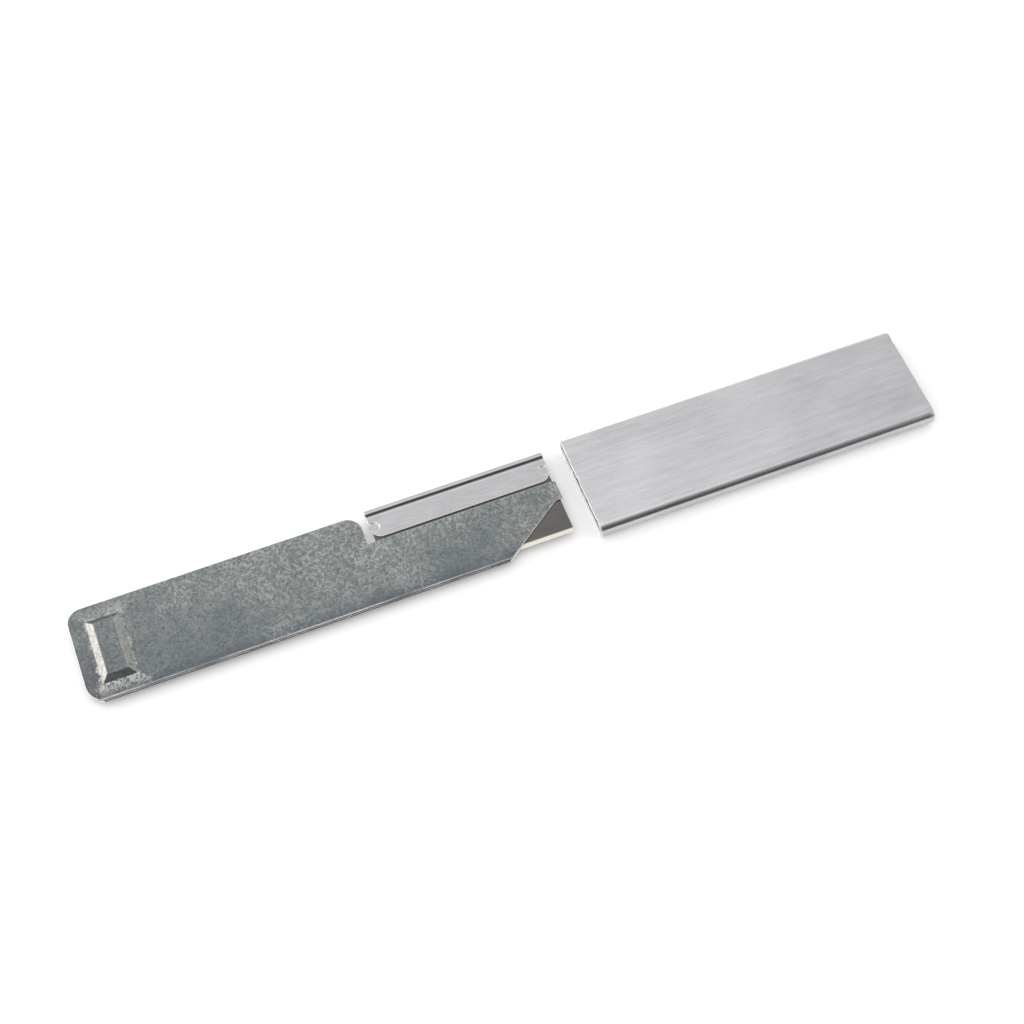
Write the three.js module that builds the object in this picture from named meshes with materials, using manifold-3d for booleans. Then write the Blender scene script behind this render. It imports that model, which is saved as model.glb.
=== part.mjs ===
// A flat box cutter: a folded sheet-steel carrier holds a single-edge blade and slides in a flat sleeve.
// Millimetres, +Z up. X runs along the cutter towards the blade's point, Y from the cutting edge to the spine.
// The sleeve is drawn off over the blade's end and lies in line with the carrier, ready to slide back on.

import * as THREE from "three";
import { ConvexGeometry } from "three/addons/geometries/ConvexGeometry.js";
import { mergeVertices } from "three/addons/utils/BufferGeometryUtils.js";
import Module from "manifold-3d";

const wasm = await Module();
wasm.setup();

// Blade: a steel strip with one ground edge and a notch in each end.
const BLADE_LENGTH = 37.7;
const BLADE_THICKNESS = 0.25;
const BLADE_DEPTH = 19.05; // cutting edge to the back of the spine
const BEVEL_WIDTH = 0.85;
const HONED_WIDTH = 0.22; // the last, steeper part of the bevel
const HONED_THICKNESS = 0.1;
const NOTCH_RADIUS = 1.1;

// Spine: a strip folded over the blade's back edge, with a thick bead at the fold and a flat skirt on each face.
const SPINE_OVERHANG = 0.25; // past each end of the blade
const SPINE_DEPTH = 6.55;
const SPINE_WALL = 0.3;
const SPINE_FIT = 0.03; // between the skirts and the blade
const BEAD_THICKNESS = 2;
const BEAD_DEPTH = 0.75; // behind the blade's back edge
const BEAD_CORNER = 0.7; // rounds the bead's two edges
const BEAD_FLARE = 1; // hollow radius where a skirt runs up to the bead
const SPINE_CORNER = 2.3;
const CRIMP_FROM_END = 0.95;
const CRIMP_ABOVE_SKIRT = 2.5;
const CRIMP_RADIUS = 1.1;
const CRIMP_DEPTH = 0.22;
const CRIMP_CORE_RADIUS = 0.75;

// Carrier: one sheet, folded along its lower edge into two leaves with the blade's pocket between them.
const CARRIER_LENGTH = 99.9;
const CARRIER_WIDTH = 20.4; // its rear half, from the fold to the upper edge
const SHEET = 0.35;
const POCKET_CLEARANCE = 0.08; // between the blade and each leaf
const EDGE_GUARD = 1.72; // from the fold up to the cutting edge
const SEAT_CLEARANCE = 0.6; // between the spine's skirts and the leaves under them
const BLADE_PLAY = 1.7; // from the shoulder's wall to the blade's rear end
const REAR_TOP_RADIUS = 3;
const REAR_LOW_RADIUS = 4.5;
const REAR_LOW_SINK = 0.4; // how far the rear arc's circle dips below the fold
const SHOULDER_RADIUS = 3.2;

// Diagonal cut that bares the blade's point, and the lip that stops the blade's end.
const DIAGONAL_LENGTH = 13.3; // along the fold
const DIAGONAL_HEIGHT = 9.3;
const DIAGONAL_BLEND = 0.9; // rounds the diagonal into the lip's lower end
const LIP_FLAT = 0.95; // from the diagonal's upper end to the lip's bend
const LIP_BEND = 0.2; // inner radius
const LIP_END_CLEARANCE = 0.2; // between the lip and the blade's end
const LIP_LIFT = 0.12; // the lip's tip above the carrier's underside

// Boss pressed up out of the upper leaf: thumb grip, and stop for the sleeve.
const BOSS_SETBACK = 3.3;
const BOSS_LENGTH = 6.9;
const BOSS_WIDTH = 13.8;
const BOSS_HEIGHT = 1.1;
const BOSS_SLOPE = 1.3;

// Sleeve: a flat tube with rounded sides, made to the carrier that runs in it.
const SLEEVE_LENGTH = 74.6;
const SLEEVE_WALL = 0.7;
const SLEEVE_CORNER = 1.75;
const BORE_SIDE_CLEARANCE = 0.5;
const BORE_BEAD_CLEARANCE = 0.105; // between the spine's bead and the bore's floor
const BORE_HEADROOM = 0.75;
const DRAWN_OFF_GAP = 4; // from the lip to the sleeve's rear end

// Sizes that follow from the ones above.
const POCKET = BLADE_THICKNESS + 2 * POCKET_CLEARANCE;
const CARRIER_THICKNESS = 2 * SHEET + POCKET;
const FOLD_RADIUS = CARRIER_THICKNESS / 2;
const SPINE_LENGTH = BLADE_LENGTH + 2 * SPINE_OVERHANG;
const SPINE_BACK = EDGE_GUARD + BLADE_DEPTH;
const SKIRT_EDGE = SPINE_BACK - SPINE_DEPTH;
const SEAT_HEIGHT = SKIRT_EDGE - SEAT_CLEARANCE;
const CRIMP_HEIGHT = SKIRT_EDGE + CRIMP_ABOVE_SKIRT;
const SLOT_HALF = BLADE_THICKNESS / 2 + SPINE_FIT;
const SKIRT_HALF = SLOT_HALF + SPINE_WALL;
const BEAD_HALF = BEAD_THICKNESS / 2;
const LIP_INNER_FACE = CARRIER_LENGTH - SHEET;
const LEAF_FRONT = LIP_INNER_FACE - LIP_BEND;
const BLADE_FRONT = LIP_INNER_FACE - LIP_END_CLEARANCE;
const BLADE_REAR = BLADE_FRONT - BLADE_LENGTH;
const SHOULDER_FRONT = BLADE_REAR - BLADE_PLAY;
const BORE_WIDTH = CARRIER_WIDTH + 2 * BORE_SIDE_CLEARANCE;
const BORE_FLOOR_CLEARANCE = BEAD_HALF - CARRIER_THICKNESS / 2 + BORE_BEAD_CLEARANCE;
const BORE_HEIGHT = BORE_FLOOR_CLEARANCE + CARRIER_THICKNESS + BORE_HEADROOM;
const SLEEVE_REAR = CARRIER_LENGTH + DRAWN_OFF_GAP;
const OVERALL_LENGTH = SLEEVE_REAR + SLEEVE_LENGTH;

const OVERCUT = 1; // how far a cutting shape runs past what it cuts
const ARC_STEPS = 14;

// A closed solid from a geometry's bare positions.
function solidFrom(geometry) {
  geometry.deleteAttribute("normal");
  geometry.deleteAttribute("uv");
  const merged = mergeVertices(geometry, 1e-4);
  return new wasm.Manifold(
    new wasm.Mesh({
      numProp: 3,
      vertProperties: merged.attributes.position.array,
      triVerts: new Uint32Array(merged.index.array),
    }),
  );
}

// A solid's surface as a geometry with one normal for each facet.
function geometryFrom(solid) {
  const { vertProperties, triVerts } = solid.getMesh();
  const shared = new THREE.BufferGeometry();
  shared.setAttribute("position", new THREE.BufferAttribute(vertProperties, 3));
  shared.setIndex(new THREE.BufferAttribute(triVerts, 1));
  const faceted = shared.toNonIndexed();
  faceted.computeVertexNormals();
  return faceted;
}

function extrusion(shape, depth) {
  return new THREE.ExtrudeGeometry(shape, { depth, bevelEnabled: false, curveSegments: ARC_STEPS });
}

// A plan outline in X and Y, raised from one level to another.
function raised(outline, low, high) {
  return solidFrom(extrusion(outline, high - low).translate(0, 0, low));
}

// A section in Y and Z, run along X.
function runAlongX(section, start, end) {
  const turn = new THREE.Matrix4().makeBasis(
    new THREE.Vector3(0, 1, 0),
    new THREE.Vector3(0, 0, 1),
    new THREE.Vector3(1, 0, 0),
  );
  return solidFrom(
    extrusion(section, end - start)
      .applyMatrix4(turn)
      .translate(start, 0, 0),
  );
}

// A section in X and Z, run along Y.
function runAlongY(section, start, end) {
  const turn = new THREE.Matrix4().makeBasis(
    new THREE.Vector3(1, 0, 0),
    new THREE.Vector3(0, 0, 1),
    new THREE.Vector3(0, -1, 0),
  );
  return solidFrom(
    extrusion(section, end - start)
      .applyMatrix4(turn)
      .translate(0, end, 0),
  );
}

function upright(radius, x, y, low, high) {
  const round = new THREE.Shape();
  round.absarc(x, y, radius, 0, 2 * Math.PI);
  return raised(round, low, high);
}

function rectangle(left, low, right, high) {
  const shape = new THREE.Shape();
  shape.moveTo(left, low);
  shape.lineTo(right, low);
  shape.lineTo(right, high);
  shape.lineTo(left, high);
  shape.closePath();
  return shape;
}

function roundedRectangle(path, left, low, right, high, radius) {
  path.moveTo(left + radius, low);
  path.lineTo(right - radius, low);
  path.absarc(right - radius, low + radius, radius, -Math.PI / 2, 0);
  path.absarc(right - radius, high - radius, radius, 0, Math.PI / 2);
  path.absarc(left + radius, high - radius, radius, Math.PI / 2, Math.PI);
  path.absarc(left + radius, low + radius, radius, Math.PI, 1.5 * Math.PI);
  return path;
}

function piece(name, geometry, color, roughness, metalness) {
  const material = new THREE.MeshStandardMaterial({ color, roughness, metalness });
  const mesh = new THREE.Mesh(geometry, material);
  mesh.name = name;
  return mesh;
}

// The blade stands on its mid-plane, Z = 0, with its rear end at X = 0 and the fold's height at Y = 0.
function bladeGeometry() {
  const half = BLADE_THICKNESS / 2;
  const honed = HONED_THICKNESS / 2;
  const back = SPINE_BACK - BEAD_DEPTH;
  const section = new THREE.Shape();
  section.moveTo(EDGE_GUARD, 0);
  section.lineTo(EDGE_GUARD + HONED_WIDTH, -honed);
  section.lineTo(EDGE_GUARD + BEVEL_WIDTH, -half);
  section.lineTo(back, -half);
  section.lineTo(back, half);
  section.lineTo(EDGE_GUARD + BEVEL_WIDTH, half);
  section.lineTo(EDGE_GUARD + HONED_WIDTH, honed);
  section.closePath();
  let strip = runAlongX(section, 0, BLADE_LENGTH);
  const inset = CRIMP_FROM_END - SPINE_OVERHANG;
  for (const [centre, end] of [
    [inset, -OVERCUT],
    [BLADE_LENGTH - inset, BLADE_LENGTH + OVERCUT],
  ]) {
    const mouth = rectangle(
      Math.min(centre, end),
      CRIMP_HEIGHT - NOTCH_RADIUS,
      Math.max(centre, end),
      CRIMP_HEIGHT + NOTCH_RADIUS,
    );
    strip = strip
      .subtract(upright(NOTCH_RADIUS, centre, CRIMP_HEIGHT, -OVERCUT, OVERCUT))
      .subtract(raised(mouth, -OVERCUT, OVERCUT));
  }
  return geometryFrom(strip);
}

// The folded strip from the end: two skirts on the blade's faces, which flare out to the bead, and the slot between.
function spineSection() {
  const quarter = Math.PI / 2;
  const reach = BEAD_CORNER + BEAD_FLARE;
  const slant = Math.acos(1 - (BEAD_HALF - SKIRT_HALF) / reach);
  const corner = SPINE_BACK - BEAD_CORNER;
  const cornerRise = BEAD_HALF - BEAD_CORNER;
  const flareFoot = corner - reach * Math.sin(slant);
  const flareRise = SKIRT_HALF + BEAD_FLARE;
  const slotEnd = SPINE_BACK - BEAD_DEPTH + SPINE_FIT;
  const section = new THREE.Shape();
  section.moveTo(SKIRT_EDGE, -SKIRT_HALF);
  section.absarc(flareFoot, -flareRise, BEAD_FLARE, quarter, quarter - slant, true);
  section.absarc(corner, -cornerRise, BEAD_CORNER, -quarter - slant, 0);
  section.absarc(corner, cornerRise, BEAD_CORNER, 0, quarter + slant);
  section.absarc(flareFoot, flareRise, BEAD_FLARE, slant - quarter, -quarter, true);
  section.lineTo(SKIRT_EDGE, SKIRT_HALF);
  section.lineTo(SKIRT_EDGE, SLOT_HALF);
  section.lineTo(slotEnd, SLOT_HALF);
  section.lineTo(slotEnd, -SLOT_HALF);
  section.lineTo(SKIRT_EDGE, -SLOT_HALF);
  section.closePath();
  return section;
}

// The skirts' lower corners are rounded off.
function spineOutline() {
  const outline = new THREE.Shape();
  outline.moveTo(SPINE_CORNER, SKIRT_EDGE);
  outline.lineTo(SPINE_LENGTH - SPINE_CORNER, SKIRT_EDGE);
  outline.absarc(SPINE_LENGTH - SPINE_CORNER, SKIRT_EDGE + SPINE_CORNER, SPINE_CORNER, -Math.PI / 2, 0);
  outline.lineTo(SPINE_LENGTH, SPINE_BACK + OVERCUT);
  outline.lineTo(0, SPINE_BACK + OVERCUT);
  outline.absarc(SPINE_CORNER, SKIRT_EDGE + SPINE_CORNER, SPINE_CORNER, Math.PI, 1.5 * Math.PI);
  return outline;
}

// Each crimp is a dimple in both skirts, with the pressed metal standing in the blade's notch.
function spineGeometry() {
  let strip = runAlongX(spineSection(), -OVERCUT, SPINE_LENGTH + OVERCUT);
  strip = strip.intersect(raised(spineOutline(), -BEAD_THICKNESS, BEAD_THICKNESS));
  const floor = SKIRT_HALF - CRIMP_DEPTH;
  for (const centre of [CRIMP_FROM_END, SPINE_LENGTH - CRIMP_FROM_END]) {
    strip = strip
      .add(upright(CRIMP_CORE_RADIUS, centre, CRIMP_HEIGHT, -floor, floor))
      .subtract(upright(CRIMP_RADIUS, centre, CRIMP_HEIGHT, floor, SKIRT_HALF + OVERCUT))
      .subtract(upright(CRIMP_RADIUS, centre, CRIMP_HEIGHT, -SKIRT_HALF - OVERCUT, -floor));
  }
  return geometryFrom(strip);
}

// Both leaves and the round fold that joins them, seen from the end.
function foldedSection() {
  const top = CARRIER_THICKNESS;
  const reach = CARRIER_WIDTH + OVERCUT;
  const section = new THREE.Shape();
  section.moveTo(reach, 0);
  section.lineTo(reach, SHEET);
  section.lineTo(FOLD_RADIUS, SHEET);
  section.absarc(FOLD_RADIUS, FOLD_RADIUS, FOLD_RADIUS - SHEET, 1.5 * Math.PI, Math.PI / 2, true);
  section.lineTo(reach, top - SHEET);
  section.lineTo(reach, top);
  section.lineTo(FOLD_RADIUS, top);
  section.absarc(FOLD_RADIUS, FOLD_RADIUS, FOLD_RADIUS, Math.PI / 2, 1.5 * Math.PI);
  section.closePath();
  return section;
}

// The folded blank's outline from above. The large rear arc and the diagonal both run out through the fold.
function carrierOutline() {
  const rearCentre = REAR_LOW_RADIUS - REAR_LOW_SINK;
  const sweep = Math.asin(rearCentre / REAR_LOW_RADIUS);
  const rearFoot = REAR_LOW_RADIUS * (1 - Math.cos(sweep));
  const diagonalTop = LEAF_FRONT - LIP_FLAT;
  const slope = new THREE.Vector2(-DIAGONAL_LENGTH, -DIAGONAL_HEIGHT).normalize();
  const overrun = (OVERCUT * DIAGONAL_LENGTH) / DIAGONAL_HEIGHT;
  const outline = new THREE.Shape();
  outline.moveTo(rearFoot, -OVERCUT);
  outline.absarc(REAR_LOW_RADIUS, rearCentre, REAR_LOW_RADIUS, Math.PI + sweep, Math.PI, true);
  outline.absarc(
    REAR_TOP_RADIUS,
    CARRIER_WIDTH - REAR_TOP_RADIUS,
    REAR_TOP_RADIUS,
    Math.PI,
    Math.PI / 2,
    true,
  );
  outline.absarc(
    SHOULDER_FRONT - SHOULDER_RADIUS,
    CARRIER_WIDTH - SHOULDER_RADIUS,
    SHOULDER_RADIUS,
    Math.PI / 2,
    0,
    true,
  );
  outline.lineTo(SHOULDER_FRONT, SEAT_HEIGHT);
  outline.lineTo(LEAF_FRONT, SEAT_HEIGHT);
  outline.lineTo(LEAF_FRONT, DIAGONAL_HEIGHT);
  outline.quadraticCurveTo(
    diagonalTop,
    DIAGONAL_HEIGHT,
    diagonalTop + slope.x * DIAGONAL_BLEND,
    DIAGONAL_HEIGHT + slope.y * DIAGONAL_BLEND,
  );
  outline.lineTo(diagonalTop - DIAGONAL_LENGTH - overrun, -OVERCUT);
  outline.closePath();
  return outline;
}

// The upper leaf's front edge, bent down past the blade's end.
function lipSection() {
  const top = CARRIER_THICKNESS;
  const under = top - SHEET;
  const outer = LIP_BEND + SHEET;
  const root = LEAF_FRONT - SHEET;
  const section = new THREE.Shape();
  section.moveTo(root, under);
  section.absarc(LEAF_FRONT, under - LIP_BEND, LIP_BEND, Math.PI / 2, 0, true);
  section.lineTo(LIP_INNER_FACE, LIP_LIFT);
  section.lineTo(CARRIER_LENGTH, LIP_LIFT);
  section.absarc(LEAF_FRONT, top - outer, outer, 0, Math.PI / 2);
  section.lineTo(root, top);
  section.closePath();
  return section;
}

// A mould with four sloping sides: the boss outside, and, one sheet lower, the hollow under it.
function bossMould(foot) {
  const middle = CARRIER_WIDTH / 2;
  const sunk = POCKET / 2;
  const corners = [];
  for (const [inset, level] of [
    [0, foot - sunk],
    [0, foot],
    [BOSS_SLOPE, foot + BOSS_HEIGHT],
  ]) {
    for (const x of [BOSS_SETBACK + inset, BOSS_SETBACK + BOSS_LENGTH - inset]) {
      for (const side of [-1, 1]) {
        corners.push(new THREE.Vector3(x, middle + side * (BOSS_WIDTH / 2 - inset), level));
      }
    }
  }
  return solidFrom(new ConvexGeometry(corners));
}

function carrierGeometry() {
  const top = CARRIER_THICKNESS;
  const folded = runAlongX(foldedSection(), -OVERCUT, CARRIER_LENGTH).intersect(
    raised(carrierOutline(), -OVERCUT, top + OVERCUT),
  );
  const pressed = folded.add(bossMould(top)).subtract(bossMould(top - SHEET));
  const lip = runAlongY(lipSection(), DIAGONAL_HEIGHT, SEAT_HEIGHT);
  return geometryFrom(pressed.add(lip));
}

// The sleeve stands on Z = 0 with its rear end at X = 0, centred across Y.
function sleeveGeometry() {
  const halfBore = BORE_WIDTH / 2;
  const halfWidth = halfBore + SLEEVE_WALL;
  const height = BORE_HEIGHT + 2 * SLEEVE_WALL;
  const boreCorner = SLEEVE_CORNER - SLEEVE_WALL;
  const section = roundedRectangle(new THREE.Shape(), -halfWidth, 0, halfWidth, height, SLEEVE_CORNER);
  const bore = new THREE.Path();
  roundedRectangle(bore, -halfBore, SLEEVE_WALL, halfBore, height - SLEEVE_WALL, boreCorner);
  section.holes.push(bore);
  return geometryFrom(runAlongX(section, 0, SLEEVE_LENGTH));
}

const blade = piece("blade", bladeGeometry(), 0x6a6866, 0.35, 0.95);
blade.position.x = BLADE_REAR;

const spine = piece("blade_spine", spineGeometry(), 0xc4c4c6, 0.3, 0.95);
spine.position.x = BLADE_REAR - SPINE_OVERHANG;

// The blade and its spine drop into the pocket as one, so they share the pocket's mid-plane.
const bladeUnit = new THREE.Group();
bladeUnit.add(blade, spine);
bladeUnit.position.z = CARRIER_THICKNESS / 2;

const carrier = piece("carrier", carrierGeometry(), 0x868c8e, 0.45, 0.9);

// The loaded carrier runs on the floor of the sleeve's bore, midway between its sides.
const loadedCarrier = new THREE.Group();
loadedCarrier.add(carrier, bladeUnit);
loadedCarrier.position.set(0, -CARRIER_WIDTH / 2, SLEEVE_WALL + BORE_FLOOR_CLEARANCE);

const sleeve = piece("sleeve", sleeveGeometry(), 0xc6c6c9, 0.35, 0.95);
sleeve.position.x = SLEEVE_REAR;

// The origin lies on the surface the sleeve rests on, under the middle of the whole.
const laidOut = new THREE.Group();
laidOut.add(loadedCarrier, sleeve);
laidOut.position.x = -OVERALL_LENGTH / 2;

const boxCutter = new THREE.Group();
boxCutter.name = "box_cutter";
boxCutter.add(laidOut);

export default boxCutter;
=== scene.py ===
import logging
import math
import random
from collections.abc import Callable, Iterator, Sequence
from contextlib import contextmanager
from dataclasses import dataclass
from enum import Enum, IntEnum
from functools import reduce

import bmesh
import bpy
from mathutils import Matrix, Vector


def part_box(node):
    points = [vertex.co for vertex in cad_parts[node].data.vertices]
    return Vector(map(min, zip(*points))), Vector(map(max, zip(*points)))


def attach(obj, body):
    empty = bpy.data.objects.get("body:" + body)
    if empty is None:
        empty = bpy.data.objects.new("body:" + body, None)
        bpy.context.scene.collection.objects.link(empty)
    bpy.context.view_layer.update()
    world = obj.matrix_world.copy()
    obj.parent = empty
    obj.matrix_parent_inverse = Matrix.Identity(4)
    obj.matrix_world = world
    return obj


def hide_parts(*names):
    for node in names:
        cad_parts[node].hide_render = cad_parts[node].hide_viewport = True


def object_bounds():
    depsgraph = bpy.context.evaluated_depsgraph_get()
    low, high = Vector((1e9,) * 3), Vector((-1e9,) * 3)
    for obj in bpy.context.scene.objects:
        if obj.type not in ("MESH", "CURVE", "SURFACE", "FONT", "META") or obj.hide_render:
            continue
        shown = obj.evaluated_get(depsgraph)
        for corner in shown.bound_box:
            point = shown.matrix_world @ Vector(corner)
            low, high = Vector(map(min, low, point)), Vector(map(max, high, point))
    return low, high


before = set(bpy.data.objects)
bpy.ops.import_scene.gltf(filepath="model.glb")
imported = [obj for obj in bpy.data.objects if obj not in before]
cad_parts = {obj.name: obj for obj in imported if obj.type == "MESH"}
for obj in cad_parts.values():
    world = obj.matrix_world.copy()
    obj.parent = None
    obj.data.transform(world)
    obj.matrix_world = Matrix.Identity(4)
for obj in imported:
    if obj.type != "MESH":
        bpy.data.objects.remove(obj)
CAD_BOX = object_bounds()

Pair = tuple[float, float]
Triple = tuple[float, float, float]
Colour = Triple
Socket = bpy.types.NodeSocket

# Pieces are modelled in millimetres in the cutter's own frame, and brought to the frame's metres when done.
MM = 0.001
X_AXIS = Vector((1, 0, 0))
Y_AXIS = Vector((0, 1, 0))

# In millimetres: places this close are one, and a cut this close to a corner goes through it.
NEAR = 1e-3
CUT_NEAR = 1e-4

# In degrees: faces with less than these turns between them are merged into one, or shaded as one.
FLAT_TURN = 1
SMOOTH_TURN = 50

# The share of a face's normal that tells which way it looks, and how far large faces lead the shading.
MOSTLY = 0.5
FACE_WEIGHT = 80

# How many flats a broken edge has across it.
BREAK_STEPS = 3

# Ranges of values in a finish: a whole share, and what soft noise mostly keeps to.
WHOLE: Pair = (0, 1)
NOISE: Pair = (0.3, 0.7)
WHITE: Colour = (1, 1, 1)

log = logging.getLogger("box_cutter")


class Part(Enum):
    """What a selection is made of."""

    CORNERS = "VERT"
    EDGES = "EDGE"
    FACES = "FACE"


class Coat(IntEnum):
    """The numbers of a piece's finishes, in the order that it is coated with them."""

    FACE = 0
    EDGE = 1
    BORE = 2


class Body(Enum):
    """The bodies of the frame that pieces ride on."""

    CARRIER = "carrier"
    BLADE_UNIT = "blade_unit"
    SLEEVE = "sleeve"


def box_of(node: str) -> tuple[Vector, Vector]:
    """Lowest and highest corner of a CAD node at rest, in millimetres."""
    low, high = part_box(node)
    return low / MM, high / MM


def clear_bench() -> None:
    """Leaves edit mode and deselects everything."""
    if bpy.context.object and bpy.context.object.mode != "OBJECT":
        bpy.ops.object.mode_set(mode="OBJECT")
    bpy.ops.object.select_all(action="DESELECT")


def take_up(piece: bpy.types.Object) -> None:
    """Makes one piece the only selected and the active one.

    Args:
        piece: the piece.
    """
    clear_bench()
    piece.select_set(True)
    bpy.context.view_layer.objects.active = piece


def named(name: str) -> bpy.types.Object:
    """Names the primitive that was just added, and moves its place into its mesh.

    Args:
        name: the piece's name.

    Returns:
        The new piece.
    """
    piece = bpy.context.object
    piece.name = name
    piece.data.name = name
    bpy.ops.object.transform_apply(location=True, rotation=True, scale=True)
    return piece


def add_block(name: str, low: Vector, high: Vector) -> bpy.types.Object:
    """Adds a cube primitive that fills a box.

    Args:
        name: the piece's name.
        low: the box's lowest corner.
        high: its highest corner.

    Returns:
        The new piece.
    """
    clear_bench()
    bpy.ops.mesh.primitive_cube_add(size=1, location=(low + high) / 2, scale=high - low)
    return named(name)


def add_leaf(name: str, low: Vector, high: Vector) -> bpy.types.Object:
    """Adds a flat plane primitive between two corners of one height.

    Args:
        name: the piece's name.
        low: the lowest corner.
        high: the highest corner.

    Returns:
        The new piece.
    """
    clear_bench()
    bpy.ops.mesh.primitive_plane_add(size=1, location=(low + high) / 2)
    bpy.context.object.scale = (high.x - low.x, high.y - low.y, 1)
    return named(name)


def add_post(name: str, centre: Vector, radius: float, height: float, sides: int) -> bpy.types.Object:
    """Adds an upright cylinder primitive.

    Args:
        name: the piece's name.
        centre: its centre.
        radius: its radius.
        height: its height.
        sides: how many flats it has round it.

    Returns:
        The new piece.
    """
    clear_bench()
    bpy.ops.mesh.primitive_cylinder_add(vertices=sides, radius=radius, depth=height, location=centre)
    return named(name)


def coat(piece: bpy.types.Object, *finishes: bpy.types.Material) -> None:
    """Gives a piece its finishes, in the order of its mesh's material numbers."""
    for finish in finishes:
        piece.data.materials.append(finish)


@contextmanager
def editing(piece: bpy.types.Object) -> Iterator[None]:
    """Edit mode on one piece, with nothing selected at the start.

    Args:
        piece: the piece.

    Returns:
        A context that leaves edit mode at its end.
    """
    take_up(piece)
    bpy.ops.object.mode_set(mode="EDIT")
    bpy.ops.mesh.select_all(action="DESELECT")
    yield
    bpy.ops.object.mode_set(mode="OBJECT")


def pick(part: Part, wanted: Callable[..., bool]) -> int:
    """Selects, in edit mode, the parts of a mesh that are wanted, and nothing else.

    Args:
        part: whether corners, edges or faces are selected.
        wanted: says of one corner, edge or face whether it is selected.

    Returns:
        How many parts were selected.
    """
    bpy.ops.mesh.select_mode(type=part.value)
    bpy.ops.mesh.select_all(action="DESELECT")
    data = bpy.context.edit_object.data
    mesh = bmesh.from_edit_mesh(data)
    mesh.normal_update()
    parts = {Part.CORNERS: mesh.verts, Part.EDGES: mesh.edges, Part.FACES: mesh.faces}[part]
    chosen = [item for item in parts if wanted(item)]
    for item in chosen:
        item.select_set(True)
    mesh.select_flush_mode()
    bmesh.update_edit_mesh(data)
    return len(chosen)


def middle(edge: bmesh.types.BMEdge) -> Vector:
    """The point halfway along an edge."""
    return (edge.verts[0].co + edge.verts[1].co) / 2


def centre_of(face: bmesh.types.BMFace) -> Vector:
    """The mean of a face's corners."""
    return face.calc_center_median()


def looks_up(face: bmesh.types.BMFace) -> bool:
    """Whether a face looks mostly upward."""
    return face.normal.z > MOSTLY


def along(edge: bmesh.types.BMEdge, axis: Vector) -> bool:
    """Whether an edge runs along an axis."""
    run = edge.verts[1].co - edge.verts[0].co
    return run.length > NEAR and abs(run.normalized().dot(axis)) > 1 - NEAR


def at(value: float, place: float) -> bool:
    """Whether two places are the same to within the bench's precision."""
    return abs(value - place) < NEAR


def cut(point: Vector, normal: Vector) -> None:
    """Bisects the selected faces by a plane."""
    bpy.ops.mesh.bisect(plane_co=point, plane_no=normal, threshold=CUT_NEAR)


def cut_through(point: Vector, normal: Vector) -> None:
    """Bisects all faces by a plane."""
    bpy.ops.mesh.select_all(action="SELECT")
    cut(point, normal)


def trim(wanted: Callable[..., bool], point: Vector, normal: Vector) -> None:
    """Cuts away what some faces have on one side of a plane.

    Args:
        wanted: says of one face whether it is cut.
        point: a point on the plane.
        normal: the plane's normal, on the side that is cut away.
    """
    if pick(Part.FACES, wanted):
        cut(point, normal)
    if pick(Part.FACES, lambda face: wanted(face) and (centre_of(face) - point).dot(normal) > NEAR):
        bpy.ops.mesh.delete(type="FACE")


def round_off(part: Part, wanted: Callable[..., bool], radius: float, steps: int) -> None:
    """Rounds the corners or edges that are wanted.

    Args:
        part: whether corners or edges are rounded.
        wanted: says of one corner or edge whether it is rounded.
        radius: how far the round reaches from it.
        steps: how many flats the round has.
    """
    pick(part, wanted)
    affected = "VERTICES" if part is Part.CORNERS else "EDGES"
    bpy.ops.mesh.bevel(offset=radius, segments=steps, affect=affected, clamp_overlap=False)


def pull(offset: Vector) -> None:
    """Extrudes the selection and moves the new part."""
    bpy.ops.mesh.extrude_region_move(TRANSFORM_OT_translate={"value": offset})


def sweep(turn: float, hub: Vector, axis: Vector, steps: int) -> None:
    """Spins the selected edges round a hub, counter-clockwise about the axis, by a turn in degrees."""
    bpy.ops.mesh.spin(steps=steps, angle=-math.radians(turn), center=hub, axis=axis)


def arc_steps(radius: float, start: float, end: float, steps: int) -> list[Pair]:
    """Chords of an arc along a profile.

    Args:
        radius: the arc's radius.
        start: the profile's slope where the arc begins, in radians.
        end: its slope where the arc ends.
        steps: the number of chords.

    Returns:
        Steps forward and upward.
    """
    half = (end - start) / steps / 2
    chord = 2 * radius * math.sin(abs(half))
    slopes = [start + half * (2 * number + 1) for number in range(steps)]
    return [(chord * math.cos(slope), chord * math.sin(slope)) for slope in slopes]


def close_doubles() -> None:
    """Merges corners that lie on each other, over the whole mesh."""
    bpy.ops.mesh.select_all(action="SELECT")
    bpy.ops.mesh.remove_doubles(threshold=NEAR)


def face_up(piece: bpy.types.Object, height: float) -> None:
    """Turns a sheet's faces all one way, so that the one at a height faces up.

    Args:
        piece: the sheet, in edit mode.
        height: the height of a level face that has to face up.
    """
    bpy.ops.mesh.select_all(action="SELECT")
    bpy.ops.mesh.normals_make_consistent(inside=False)
    mesh = bmesh.from_edit_mesh(piece.data)
    mesh.normal_update()
    level = next(face for face in mesh.faces if at(centre_of(face).z, height))
    if level.normal.z < 0:
        bpy.ops.mesh.flip_normals()


def finish_with(piece: bpy.types.Object, kind: str, **settings: object) -> None:
    """Adds a modifier to a piece and applies it.

    Args:
        piece: the piece.
        kind: Blender's name for the modifier.
        **settings: the modifier's settings.
    """
    take_up(piece)
    modifier = piece.modifiers.new(kind.title(), kind)
    for name, value in settings.items():
        setattr(modifier, name, value)
    bpy.ops.object.modifier_apply(modifier=modifier.name)


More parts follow.
